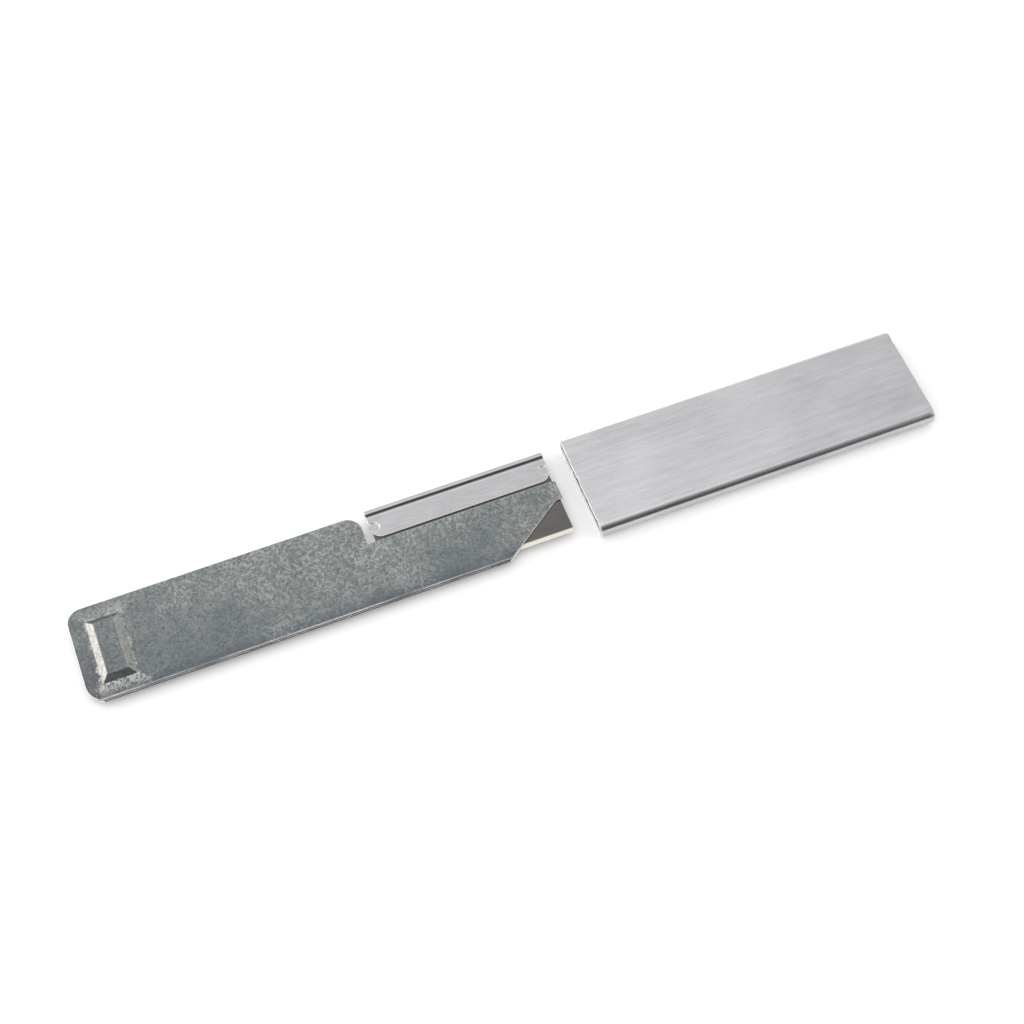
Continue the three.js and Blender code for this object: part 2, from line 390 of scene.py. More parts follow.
def thicken(sheet: bpy.types.Object, wall: float, **settings: object) -> None:
    """Gives a sheet its thickness, inward from its outer face. The cut edges get a finish of their own.

    Args:
        sheet: the sheet.
        wall: its thickness.
        **settings: what else the modifier is told.
    """
    shared = {"offset": -1, "use_even_offset": True, "material_offset_rim": Coat.EDGE}
    finish_with(sheet, "SOLIDIFY", thickness=wall, **shared, **settings)


def break_edges(piece: bpy.types.Object, width: float, over: float) -> None:
    """Takes the sharpness off every edge that turns by more than an angle.

    Args:
        piece: the piece.
        width: the width of the small bevel.
        over: the least turn that counts as an edge, in degrees.
    """
    finish_with(
        piece,
        "BEVEL",
        width=width,
        segments=BREAK_STEPS,
        limit_method="ANGLE",
        angle_limit=math.radians(over),
        use_clamp_overlap=False,
        material=Coat.EDGE,
    )


def carve(piece: bpy.types.Object, tool: bpy.types.Object) -> None:
    """Cuts one mesh out of another and throws the cutting one away."""
    finish_with(piece, "BOOLEAN", operation="DIFFERENCE", solver="EXACT", object=tool)
    bpy.data.objects.remove(tool)


def hand_over(piece: bpy.types.Object, body: Body, node: str) -> None:
    """Brings a modelled piece to metres and gives it to the frame.

    Args:
        piece: the piece, modelled in millimetres.
        body: the body that it rides on.
        node: the CAD node that it stands for.
    """
    take_up(piece)
    piece.scale = (MM, MM, MM)
    bpy.ops.object.transform_apply(location=False, rotation=False, scale=True)
    bpy.ops.object.shade_smooth_by_angle(angle=math.radians(SMOOTH_TURN))
    finish_with(piece, "WEIGHTED_NORMAL", keep_sharp=True, weight=FACE_WEIGHT)
    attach(piece, body.value)
    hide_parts(node)
    log.info("%s: %d faces, on body %s", piece.name, len(piece.data.polygons), body.value)


def solid(colour: Colour) -> tuple[float, float, float, float]:
    """A colour with full cover."""
    return (*colour, 1.0)


class NodeBoard:
    """The nodes of a new material or world, with short calls that add and join them."""

    def __init__(self, owner: bpy.types.Material | bpy.types.World) -> None:
        """Starts with the one shader that a new tree has, joined to its output.

        Args:
            owner: the new material or world.
        """
        owner.use_nodes = True
        self.owner = owner
        self.tree = owner.node_tree
        self.shader = self.tree.links[0].from_node

    def feed(self, socket: Socket, value: object) -> None:
        """Joins another socket to a socket, or sets its number or colour.

        Args:
            socket: the socket that is fed.
            value: a socket, number or colour.
        """
        if isinstance(value, Socket):
            self.tree.links.new(value, socket)
        else:
            socket.default_value = value

    def set_shader(self, **values: object) -> None:
        """Feeds the shader's sockets, each named with an underscore for a space."""
        for name, value in values.items():
            self.feed(self.shader.inputs[name.replace("_", " ")], value)

    def add(self, kind: str, inputs: dict[str | int, object], **settings: object) -> bpy.types.Node:
        """Adds a node.

        Args:
            kind: Blender's name for the node, without its common prefix.
            inputs: values or sockets for its inputs, by name or number.
            **settings: the node's own settings.

        Returns:
            The new node.
        """
        node = self.tree.nodes.new("ShaderNode" + kind)
        for name, value in settings.items():
            setattr(node, name, value)
        for name, value in inputs.items():
            self.feed(node.inputs[name], value)
        return node

    def place(self, per_mm: Triple, turn: float = 0) -> Socket:
        """The point on the piece, scaled.

        Args:
            per_mm: how many units a millimetre is along each axis.
            turn: a turn about the upright axis, in degrees.

        Returns:
            The socket of the scaled point.
        """
        point = self.add("TexCoord", {}).outputs["Object"]
        angle = (0, 0, math.radians(turn))
        turned = self.add("Mapping", {"Vector": point, "Rotation": angle}, vector_type="TEXTURE")
        scale = [rate / MM for rate in per_mm]
        return self.add("Mapping", {"Vector": turned.outputs[0], "Scale": scale}).outputs[0]

    def point(self, size: float = 1) -> Socket:
        """The point on the piece, counted in lengths of one size, or else in millimetres."""
        return self.place((1 / size,) * 3)

    def axes(self, point: Socket) -> tuple[Socket, Socket, Socket]:
        """A point's three coordinates."""
        return tuple(self.add("SeparateXYZ", {0: point}).outputs)

    def noise(self, point: Socket, detail: float = 2, roughness: float = 0.5) -> Socket:
        """Soft random values about one half, changing over about one unit."""
        inputs = {"Vector": point, "Scale": 1.0, "Detail": detail, "Roughness": roughness}
        return self.add("TexNoise", inputs).outputs[0]

    def cells(self, point: Socket) -> Socket:
        """A random colour for each cell of about one unit."""
        return self.add("TexVoronoi", {"Vector": point, "Scale": 1.0}).outputs["Color"]

    def value_of(self, colour: Socket) -> Socket:
        """One random value out of a random colour."""
        return self.add("SeparateColor", {0: colour}).outputs[0]

    def math(self, operation: str, *values: object) -> Socket:
        """Values joined, one after the other, by a plain operation.

        Args:
            operation: Blender's name for it.
            *values: two or more sockets or numbers.

        Returns:
            The result's socket.
        """

        def join(first: object, second: object) -> Socket:
            """Two values joined."""
            return self.add("Math", {0: first, 1: second}, operation=operation).outputs[0]

        return reduce(join, values)

    def mean(self, values: Sequence[Socket], shares: Sequence[float]) -> Socket:
        """Values added up, each with its share."""
        parts = [self.math("MULTIPLY", value, share) for value, share in zip(values, shares)]
        return self.math("ADD", *parts)

    def vector(self, operation: str, first: object, second: object = None, scale: float = 1) -> Socket:
        """One or two vectors through a vector operation.

        Args:
            operation: Blender's name for it.
            first: the first vector.
            second: the second one, where the operation takes two.
            scale: the factor, where the operation takes one.

        Returns:
            The result's socket.
        """
        node = self.add("VectorMath", {0: first, 3: scale}, operation=operation)
        if second is not None:
            self.feed(node.inputs[1], second)
        return node.outputs[0]

    def span(self, value: Socket, source: Pair, target: Pair) -> Socket:
        """A value's range laid over another range, and kept in it.

        Args:
            value: the value.
            source: its range.
            target: the range that it is laid over.

        Returns:
            The new value's socket.
        """
        inputs = {"Value": value, "From Min": source[0], "From Max": source[1]}
        inputs |= {"To Min": target[0], "To Max": target[1]}
        return self.add("MapRange", inputs, clamp=True).outputs[0]

    def blend(self, share: Socket, first: object, second: object) -> Socket:
        """Two colours mixed.

        Args:
            share: the second colour's share.
            first: the first colour.
            second: the second colour.

        Returns:
            The mixed colour's socket.
        """
        node = self.add("Mix", {"Factor": share}, data_type="RGBA")
        self.feed(node.inputs["A"], first)
        self.feed(node.inputs["B"], second)
        return node.outputs["Result"]

    def relief(self, height: Socket, depth: float, strength: float) -> Socket:
        """A bumped normal from a height, which is as deep as a number of millimetres."""
        inputs = {"Height": height, "Distance": depth * MM, "Strength": strength}
        return self.add("Bump", inputs).outputs[0]

    def metal(self, colour: object, roughness: object, normal: Socket) -> bpy.types.Material:
        """Sets up the shader as bare metal of a colour, roughness and bumped normal."""
        self.set_shader(Metallic=1.0, Base_Color=colour, Roughness=roughness, Normal=normal)
        return self.owner


def finish_board(name: str) -> NodeBoard:
    """The nodes of a new finish."""
    return NodeBoard(bpy.data.materials.new(name))


@dataclass(frozen=True)
class BrushedAluminium:
    """Drawn aluminium, brushed along its length, with a few handling scratches.

    Sizes are millimetres and rates are per millimetre. The shares are of lines, bands, grain and clouds.
    """

    dark: Colour = (0.41, 0.406, 0.432)
    light: Colour = (0.65, 0.646, 0.656)
    scratch: Colour = (0.85, 0.85, 0.85)
    line_width: float = 0.075
    line_length: float = 4
    band_width: float = 0.9
    band_length: float = 60
    grain: float = 0.13
    cloud_rates: Triple = (0.06, 0.09, 0.09)
    shares: tuple[float, ...] = (0.42, 0.12, 0.22, 0.24)
    shade_range: Pair = (0.37, 0.63)
    scratch_rates: Triple = (0.12, 9, 9)
    scratch_turn: float = 63
    scratch_range: Pair = (0.75, 0.79)
    scratch_amount: float = 0.3
    roughness: Pair = (0.2, 0.3)
    groove: float = 0.006
    groove_strength: float = 0.5

    def material(self) -> bpy.types.Material:
        """Makes the brushed finish.

        Returns:
            The finish.
        """
        board = finish_board("brushed_aluminium")
        lines_at = board.place((1 / self.line_length, 1 / self.line_width, 1 / self.line_width))
        bands_at = board.place((1 / self.band_length, 1 / self.band_width, 1 / self.band_width))
        lines = board.noise(lines_at, detail=3, roughness=0.65)
        bands = board.noise(bands_at)
        grain = board.noise(board.point(self.grain), detail=1)
        clouds = board.noise(board.place(self.cloud_rates))
        shade = board.mean((lines, bands, grain, clouds), self.shares)
        tone = board.blend(board.span(shade, self.shade_range, WHOLE), solid(self.dark), solid(self.light))
        scored = board.noise(board.place(self.scratch_rates, self.scratch_turn), detail=1)
        marks = board.span(scored, self.scratch_range, (0, self.scratch_amount))
        colour = board.blend(marks, tone, solid(self.scratch))
        gloss = board.span(lines, NOISE, self.roughness)
        return board.metal(colour, gloss, board.relief(lines, self.groove, self.groove_strength))


@dataclass(frozen=True)
class GrainedMetal:
    """Bare metal with an even, fine grain, or with lines where the grain is longer one way."""

    name: str
    dark: Colour
    light: Colour
    grain: Triple
    roughness: Pair
    groove: float = 0.006
    groove_strength: float = 0.4
    cloud_rates: Triple = (0.18, 0.25, 0.25)
    cloud_share: float = 0.4

    def material(self) -> bpy.types.Material:
        """Makes the grained finish.

        Returns:
            The finish.
        """
        board = finish_board(self.name)
        grain = board.noise(board.place(tuple(1 / length for length in self.grain)), detail=3, roughness=0.6)
        clouds = board.noise(board.place(self.cloud_rates), detail=3)
        shade = board.mean((grain, clouds), (1 - self.cloud_share, self.cloud_share))
        tone = board.blend(board.span(shade, NOISE, WHOLE), solid(self.dark), solid(self.light))
        gloss = board.span(grain, NOISE, self.roughness)
        return board.metal(tone, gloss, board.relief(grain, self.groove, self.groove_strength))


CUT_EDGE = GrainedMetal(
    name="cut_edge",
    dark=(0.66, 0.66, 0.63),
    light=(0.9, 0.9, 0.87),
    grain=(0.4, 0.4, 1),
    roughness=(0.2, 0.3),
)
# The bore's colours are lighter than the tube's outside: painted light that lifts the shade inside the tube.
BORE_PAINTED_LIGHT = GrainedMetal(
    name="bore_painted_light",
    dark=(0.6, 0.6, 0.61),
    light=(0.78, 0.78, 0.79),
    grain=(3, 0.3, 0.3),
    roughness=(0.45, 0.55),
)
SAWN_END = GrainedMetal(
    name="sawn_end",
    dark=(0.55, 0.55, 0.55),
    light=(0.9, 0.9, 0.9),
    grain=(0.25, 0.25, 0.25),
    roughness=(0.25, 0.4),
)
SPINE_STEEL = GrainedMetal(
    name="spine_steel",
    dark=(0.42, 0.415, 0.43),
    light=(0.53, 0.525, 0.54),
    grain=(3, 0.4, 0.4),
    roughness=(0.12, 0.2),
)
BLADE_STEEL = GrainedMetal(
    name="blade_steel",
    dark=(0.095, 0.09, 0.085),
    light=(0.148, 0.142, 0.134),
    grain=(5, 0.2, 0.2),
    roughness=(0.25, 0.38),
)
GROUND_EDGE = GrainedMetal(
    name="ground_edge",
    dark=(0.5, 0.48, 0.42),
    light=(0.76, 0.73, 0.65),
    grain=(0.1, 5, 5),
    roughness=(0.18, 0.3),
)


@dataclass(frozen=True)
class GalvanisedSheet:
    """Zinc-coated sheet: frosted crystals under broad clouds, worked loose by the press and rubbed by the
    sleeve, with painted shade on the fold's lower half and a painted highlight on the boss's end slopes.

    Places are millimetres in the cutter's frame. The fold's place is its lowest edge and its middle height.
    Rates are per millimetre. A range is where an effect sets in and where it is full.
    """

    boss_middle: Vector
    boss_half: Vector
    boss_slope: float
    rear: float
    fold: float
    fold_height: float
    lip: float
    dark: Colour = (0.092, 0.105, 0.118)
    light: Colour = (0.25, 0.267, 0.262)
    # Light zinc that the press has worked loose, also painted as a highlight on the boss's end slopes
    frost: Colour = (0.43, 0.45, 0.42)
    loosened_and_highlight: Colour = (0.6, 0.59, 0.54)
    # Near black, painted as shade on the fold's lower half
    painted_shade: Colour = (0.015, 0.015, 0.016)
    bluish: Colour = (0.085, 0.1, 0.128)
    bare: Colour = (0.74, 0.73, 0.69)
    edge_tint: Colour = (0.75, 0.75, 0.75)
    # Crystals, large and small, with ragged borders, each leaning its own way
    crystal: float = 0.55
    crystal_ragged: float = 0.9
    chip: float = 0.24
    chip_ragged: float = 0.6
    tilt: float = 0.1
    # Clouds, lighter towards the top edge and the front: shares of clouds, height and distance ahead
    cloud: float = 11
    ahead_range: Pair = (8, 45)
    region_shares: Triple = (0.6, 0.24, 0.16)
    # The tone's shares of large crystals, small crystals and clouds
    tone_shares: Triple = (0.26, 0.24, 0.5)
    tone_range: Pair = (0.22, 0.78)
    # A bluish band along the fold
    band: float = 3
    band_amount: float = 0.7
    # Frost needles
    needle: Triple = (0.78, 0.27, 0.27)
    needle_turns: tuple[float, ...] = (18, 76, 133)
    needle_range: Pair = (0.76, 0.98)
    frost_range: Pair = (0.44, 0.64)
    frost_amount: Pair = (0.06, 0.7)
    # Zinc that the press has worked loose: patches with chips in them, on the boss's slopes and round its
    # foot. On the slopes its light colour is also a painted highlight, strongest on the rear one, which faces
    # the left lamp
    patch_rate: float = 0.9
    speckle_shares: Pair = (0.6, 0.9)
    foot_blur: Pair = (-0.1, 0.1)
    crown_blur: float = 0.3
    ridge_blur: Pair = (-0.15, 0.15)
    ridge_amounts: Pair = (0.1, 1)
    mottle_range: Pair = (0.5, 0.85)
    mottle_amounts: Pair = (0.5, 1)
    halfway: Pair = (-1, 1)
    rear_front_highlight_amounts: Pair = (0.95, 0.5)
    near_far_amounts: Pair = (0.9, 0.5)
    halo: Pair = (0.2, 3.2)
    halo_ragged: Pair = (0.5, -0.5)
    halo_sides: Pair = (-2, 1)
    halo_squeeze: Pair = (8, 1.4)
    flake_range: Pair = (0.5, 0.9)
    # Bare edges, and painted shade on the fold's lower half
    rub: float = 0.3
    rub_amount: float = 0.95
    lip_blur: float = 0.1
    lip_amount: float = 0.55
    wear_rates: Triple = (0.12, 0.6, 0.6)
    wear_range: Pair = (0.35, 0.6)
    wear_amounts: Pair = (0.35, 1)
    roughness: Pair = (0.32, 0.48)
    rubbed_shift: float = -0.16
    painted_shade_shift: float = 0.35

    def material(self) -> bpy.types.Material:
        """Makes the spangled finish.

        Returns:
            The finish.
        """
        board = finish_board("galvanised_sheet")
        drift = board.noise(board.point(self.chip)).node.outputs["Color"]
        crystals = self._ragged_cells(board, self.crystal, drift, self.crystal_ragged)
        crystal = board.value_of(crystals)
        chip = board.value_of(self._ragged_cells(board, self.chip, drift, self.chip_ragged))
        zinc = self._zinc(board, crystal, chip)
        loosened_and_highlight = board.blend(self._loosened_and_highlight(board, chip), zinc, solid(self.loosened_and_highlight))
        rubbed, painted_shade = self._worn_edges(board)
        # The fold's lower half is blended towards near black: painted shade.
        colour = board.blend(rubbed, board.blend(painted_shade, loosened_and_highlight, solid(self.painted_shade)), solid(self.bare))
        board.set_shader(Specular_Tint=solid(self.edge_tint))
        zinc_gloss = board.span(crystal, WHOLE, self.roughness)
        gloss = board.mean((zinc_gloss, rubbed, painted_shade), (1, self.rubbed_shift, self.painted_shade_shift))
        return board.metal(colour, gloss, self._tilted(board, crystals))

    def _ragged_cells(self, board: NodeBoard, size: float, drift: Socket, reach: float) -> Socket:
        """A random colour for each crystal of a size, whose border drifts."""
        shift = board.vector("SCALE", drift, scale=reach)
        return board.cells(board.vector("ADD", board.point(size), shift))

    def _zinc(self, board: NodeBoard, crystal: Socket, chip: Socket) -> Socket:
        """The zinc's tone, with frost needles where the clouds are light.

        Args:
            board: the material's nodes.
            crystal: a random value for each crystal.
            chip: a random value for each small crystal.

        Returns:
            The colour's socket.
        """
        cloud = board.noise(board.point(self.cloud), detail=3)
        forward, across, _ = board.axes(board.point())
        height = board.span(across, (self.fold, -self.fold), WHOLE)
        start, end = self.ahead_range
        ahead = board.span(forward, (self.rear + start, self.rear + end), WHOLE)
        region = board.mean((cloud, height, ahead), self.region_shares)
        shade = board.mean((crystal, chip, region), self.tone_shares)
        tone = board.blend(board.span(shade, self.tone_range, WHOLE), solid(self.dark), solid(self.light))
        low = board.span(across, (self.fold + self.rub, self.fold + self.band), (self.band_amount, 0))
        tone = board.blend(low, tone, solid(self.bluish))
        needles = board.math("MAXIMUM", *(self._needles(board, turn) for turn in self.needle_turns))
        amount = board.math("MULTIPLY", needles, board.span(region, self.frost_range, self.frost_amount))
        return board.blend(amount, tone, solid(self.frost))

    def _needles(self, board: NodeBoard, turn: float) -> Socket:
        """Short frost needles that lie at one angle: the brightest of many long crystals."""
        cells = board.cells(board.place(tuple(1 / size for size in self.needle), turn))
        return board.span(board.value_of(cells), self.needle_range, WHOLE)

    def _loosened_and_highlight(self, board: NodeBoard, chip: Socket) -> Socket:
        """How much the press has worked the zinc loose, on the boss's slopes and in a halo on its long axis,
        and how much painted highlight the slopes get.

        Args:
            board: the material's nodes.
            chip: a random value for each small crystal.

        Returns:
            The share's socket.
        """
        offset = board.vector("SUBTRACT", board.point(), self.boss_middle)
        past = board.vector("SUBTRACT", board.vector("ABSOLUTE", offset), self.boss_half)
        past_x, past_y, _ = board.axes(past)
        forward, across, _ = board.axes(offset)
        patchy = board.noise(board.place((self.patch_rate,) * 3), detail=3)
        speckle = board.mean((chip, patchy), self.speckle_shares)

        inside = board.math("MAXIMUM", past_x, past_y)
        on_foot = board.span(inside, self.foot_blur, WHOLE)
        on_slope = board.span(inside, (-self.boss_slope - self.crown_blur, -self.boss_slope), WHOLE)
        # The end slopes get most of the light colour and the near and far slopes little: partly worked-loose
        # zinc, partly painted highlight.
        on_side = board.span(board.math("SUBTRACT", past_x, past_y), self.ridge_blur, self.ridge_amounts)
        slope = board.math("MULTIPLY", board.math("SUBTRACT", on_slope, on_foot), on_side)
        mottled = board.span(speckle, self.mottle_range, self.mottle_amounts)
        # Painted highlight: the rear slope, which faces the left lamp, gets more of the light colour than the
        # front one.
        rear_front_highlight = board.span(forward, self.halfway, self.rear_front_highlight_amounts)

        ragged = board.math("ADD", past_x, board.span(patchy, NOISE, self.halo_ragged))
        squeeze = board.span(past_y, self.halo_sides, self.halo_squeeze)
        sideways = board.math("MULTIPLY", ragged, squeeze)
        halo = board.span(board.math("MAXIMUM", sideways, past_y), self.halo, (1, 0))
        near_far = board.span(across, self.halfway, self.near_far_amounts)
        flakes = board.span(speckle, self.flake_range, WHOLE)
        flaked = board.math("MULTIPLY", halo, near_far, flakes, on_foot)
        return board.math("MAXIMUM", flaked, board.math("MULTIPLY", slope, mottled, rear_front_highlight))

    def _worn_edges(self, board: NodeBoard) -> tuple[Socket, Socket]:
        """Where the sleeve has rubbed the fold and the lip bare, and where shade is painted on the fold's
        lower half.

        Args:
            board: the material's nodes.

        Returns:
            The rubbed share's socket and the painted shade's share socket.
        """
        forward, across, upward = board.axes(board.point())
        near = board.span(across, (self.fold + self.rub, self.fold + 2 * self.rub), (self.rub_amount, 0))
        line = self.fold_height + self.rub / 2
        above = board.span(upward, (line, line + self.rub / 2), WHOLE)
        # Painted shade: the fold's lower half, near its edge, is darkened.
        below = board.span(upward, (line - self.rub / 2, line), (self.rub_amount, 0))
        lip = board.span(forward, (self.lip - self.lip_blur, self.lip + self.lip_blur), (0, self.lip_amount))
        patchy = board.noise(board.place(self.wear_rates), detail=3)
        wear = board.span(patchy, self.wear_range, self.wear_amounts)
        places = board.math("MAXIMUM", board.math("MULTIPLY", near, above), lip)
        return board.math("MULTIPLY", places, wear), board.math("MULTIPLY", near, below)

    def _tilted(self, board: NodeBoard, random_colour: Socket) -> Socket:
        """The surface's normal, leaning a little another way on each crystal.

        Args:
            board: the material's nodes.
            random_colour: a random colour for each crystal.

        Returns:
            The normal's socket.
        """
        centred = board.vector("SUBTRACT", random_colour, (0.5, 0.5, 0.5))
        upright = board.add("NewGeometry", {}).outputs["Normal"]
        leaning = board.vector("ADD", upright, board.vector("SCALE", centred, scale=self.tilt))
        return board.vector("NORMALIZE", leaning)


@dataclass
class Sleeve:
    """The flat tube that is the cutter's handle and the blade's guard."""

    wall: float = 0.7
    corner: float = 1.75
    corner_steps: int = 18
    saw_marks: int = 26
    saw_wander: float = 0.04
    saw_lean: float = 0.3
    nick_depth: float = 0.14
    nick_share: float = 0.05
    end_band: float = 1.2
    rim_round: float = 0.14
    rim_turn: float = 60
    seed: int = 7

    def build(self) -> bpy.types.Object:
        """Models the tube.

        Returns:
            The tube, in millimetres.
        """
        low, high = box_of("sleeve")
        tube = add_block("sleeve_tube", low, high)
        # The bore's finish carries painted light that lifts the shade inside the tube.
        coat(tube, BrushedAluminium().material(), SAWN_END.material(), BORE_PAINTED_LIGHT.material())
        with editing(tube):
            pick(Part.FACES, lambda face: abs(face.normal.x) > MOSTLY)
            bpy.ops.mesh.delete(type="ONLY_FACE")
            round_off(Part.EDGES, lambda edge: along(edge, X_AXIS), self.corner, self.corner_steps)
            self._saw_ends(low, high)
        thicken(tube, self.wall, material_offset=Coat.BORE)
        break_edges(tube, self.rim_round, self.rim_turn)
        return tube

    def _saw_ends(self, low: Vector, high: Vector) -> None:
        """Lets both end edges wander, lean and have nicks, as a saw leaves them.

        Args:
            low: the sleeve's lowest corner.
            high: its highest corner.
        """
        flat = high.y - low.y - 2 * self.corner
        for number in range(1, self.saw_marks):
            cut_through(Vector((0, low.y + self.corner + flat * number / self.saw_marks, 0)), Y_AXIS)
        for place in (low.x + self.end_band, high.x - self.end_band):
            cut_through(Vector((place, 0, 0)), X_AXIS)
        chance = random.Random(self.seed)
        mesh = bmesh.from_edit_mesh(bpy.context.edit_object.data)
        ends = [corner for corner in mesh.verts if at(corner.co.x, low.x) or at(corner.co.x, high.x)]
        for corner in sorted(ends, key=lambda item: tuple(item.co)):
            inward = 1 if at(corner.co.x, low.x) else -1
            below_top = (high.z - corner.co.z) / (high.z - low.z)
            nick = self.nick_depth if chance.random() < self.nick_share else 0
            corner.co.x += inward * (chance.uniform(0, self.saw_wander) + self.saw_lean * below_top + nick)
        bmesh.update_edit_mesh(bpy.context.edit_object.data)

    def dress(self, tube: bpy.types.Object) -> None:
        """Gives the tube to its body."""
        hand_over(tube, Body.SLEEVE, "sleeve")


@dataclass
class Carrier:
    """The folded sheet that holds the blade. Places count from its rear end, its fold and its underside."""

    sheet: float = 0.35
    pocket: float = 0.41
    shoulder: float = 59.95
    seat: float = 13.62
    rear_top_radius: float = 3
    rear_low_radius: float = 4.5
    rear_low_sink: float = 0.4
    shoulder_radius: float = 3.2
    diagonal_length: float = 13.3
    diagonal_height: float = 9.3
    diagonal_blend: float = 0.55
    lip_flat: float = 0.95
    lip_bend: float = 0.2
    lip_lift: float = 0.12
    lip_steps: int = 6
    boss_setback: float = 3.3
    boss_length: float = 6.9
    boss_width: float = 13.8
    boss_slope: float = 1.3
    boss_foot_round: float = 0.3
    boss_crown_round: float = 0.42
    boss_ridge_round: float = 0.16
    boss_steps: int = 4
    ridge_steps: int = 3
    corner_steps: int = 10
    fold_steps: int = 16
    edge_break: float = 0.08
    edge_turn: float = 55

    def __post_init__(self) -> None:
        """Takes the overall sizes from the frame."""
        self.low, self.high = box_of("carrier")
        self.length = self.high.x - self.low.x
        self.width = self.high.y - self.low.y
        self.top = 2 * self.sheet + self.pocket
        self.fold = self.top / 2
        self.front = self.length - self.sheet - self.lip_bend
        self.lip_start = self.front - self.lip_flat
        self.boss_height = self.high.z - self.low.z - self.top
        self.boss_slant = math.atan2(self.boss_height, self.boss_slope)

    def build(self) -> bpy.types.Object:
        """Folds the sheet and presses its boss.

        Returns:
            The carrier, in millimetres.
        """
        low, high = Vector((0, self.fold, self.top)), Vector((self.front, self.width, self.top))
        sheet = add_leaf("carrier_sheet", low, high)
        coat(sheet, self._zinc().material(), CUT_EDGE.material())
        with editing(sheet):
            self._step_down()
            self._fold_under()
            self._cut_rear()
            self._cut_diagonal()
            self._round_corners()
            face_up(sheet, self.top)
            self._press_boss()
            self._bend_lip()
            face_up(sheet, self.top)
            bpy.ops.mesh.select_all(action="SELECT")
            bpy.ops.transform.translate(value=self.low)
        thicken(sheet, self.sheet, use_quality_normals=True)
        break_edges(sheet, self.edge_break, self.edge_turn)
        return sheet

    def _zinc(self) -> GalvanisedSheet:
        """The sheet's finish, which knows where the boss, the fold and the lip are.

        Returns:
            The finish.
        """
        low, half = self.low, Vector((self.boss_length / 2, self.boss_width / 2, 0))
        return GalvanisedSheet(
            boss_middle=low + Vector((self.boss_setback + half.x, self.width / 2, 0)),
            boss_half=half,
            boss_slope=self.boss_slope,
            rear=low.x,
            fold=low.y,
            fold_height=low.z + self.fold,
            lip=low.x + self.front,
        )

    def _step_down(self) -> None:
        """Cuts the front half down to the blade's seat."""
        cut_through(Vector((self.shoulder, 0, 0)), X_AXIS)
        trim(lambda face: centre_of(face).x > self.shoulder, Vector((0, self.seat, 0)), Y_AXIS)

    def _fold_under(self) -> None:
        """Spins the lower edge round the fold and lays the second leaf under the first."""
        bpy.ops.mesh.select_all(action="SELECT")
        bpy.ops.mesh.duplicate()
        bpy.ops.transform.translate(value=(0, 0, -self.top))
        pick(Part.EDGES, lambda edge: at(middle(edge).y, self.fold) and at(middle(edge).z, self.top))
        sweep(180, Vector((0, self.fold, self.fold)), X_AXIS, self.fold_steps)
        close_doubles()

    def _cut_rear(self) -> None:
        """Rounds the rear lower corner through both leaves and the fold."""
        centre = Vector((self.rear_low_radius, self.rear_low_radius - self.rear_low_sink, 0))
        turn = math.asin(centre.y / self.rear_low_radius)
        for step in range(self.corner_steps):
            angle = math.pi + turn * (step + 0.5) / self.corner_steps
            outward = Vector((math.cos(angle), math.sin(angle), 0))
            place = centre + self.rear_low_radius * outward
            trim(lambda face: centre_of(face).x < self.shoulder, place, outward)

    def _cut_diagonal(self) -> None:
        """Cuts the front lower corner off on the slant, up to the lip's lower end."""
        pick(Part.FACES, lambda face: centre_of(face).x > self.shoulder)
        cut(Vector((self.lip_start, 0, 0)), X_AXIS)
        corner = Vector((self.lip_start, self.diagonal_height, 0))
        outward = Vector((self.diagonal_height, -self.diagonal_length, 0)).normalized()
        trim(lambda face: self.shoulder < centre_of(face).x < self.lip_start, corner, outward)
        trim(lambda face: centre_of(face).x > self.lip_start, corner, -Y_AXIS)
        bpy.ops.mesh.select_all(action="SELECT")
        bpy.ops.mesh.dissolve_limited(angle_limit=math.radians(FLAT_TURN))

    def _round_corners(self) -> None:
        """Rounds the two leaves' corners in plan."""
        for x, y, radius in (
            (0, self.width, self.rear_top_radius),
            (self.shoulder, self.width, self.shoulder_radius),
            (self.lip_start, self.diagonal_height, self.diagonal_blend),
        ):
            round_off(
                Part.CORNERS,
                lambda corner: at(corner.co.x, x) and at(corner.co.y, y),
                radius,
                self.corner_steps,
            )

    def _boss_profile(self) -> list[Pair]:
        """The boss's side: round the foot, up the slope and round the crown.

        Returns:
            Steps inward and upward.
        """
        slant = self.boss_slant
        straight = math.hypot(self.boss_height, self.boss_slope)
        straight -= (self.boss_foot_round + self.boss_crown_round) * math.tan(slant / 2)
        foot = arc_steps(self.boss_foot_round, 0, slant, self.boss_steps)
        crown = arc_steps(self.boss_crown_round, slant, 0, self.boss_steps)
        return [*foot, (straight * math.cos(slant), straight * math.sin(slant)), *crown]

    def _press_boss(self) -> None:
        """Raises the boss with sloping sides out of the upper leaf, and rounds its four ridges."""
        skirt = self.boss_foot_round * math.tan(self.boss_slant / 2)
        rear, front = self.boss_setback - skirt, self.boss_setback + self.boss_length + skirt
        near, far = (self.width - self.boss_width) / 2 - skirt, (self.width + self.boss_width) / 2 + skirt
        for place in (rear, front):
            pick(Part.FACES, lambda face: looks_up(face) and at(centre_of(face).z, self.top))
            cut(Vector((place, 0, 0)), X_AXIS)
        for place in (near, far):
            pick(Part.FACES, lambda face: looks_up(face) and rear < face.calc_center_bounds().x < front)
            cut(Vector((0, place, 0)), Y_AXIS)
        centre = Vector(((rear + front) / 2, (near + far) / 2, self.top))
        pick(Part.FACES, lambda face: looks_up(face) and (face.calc_center_bounds() - centre).length < NEAR)
        for run, rise in self._boss_profile():
            bpy.ops.mesh.inset(thickness=run, depth=rise, use_even_offset=True)

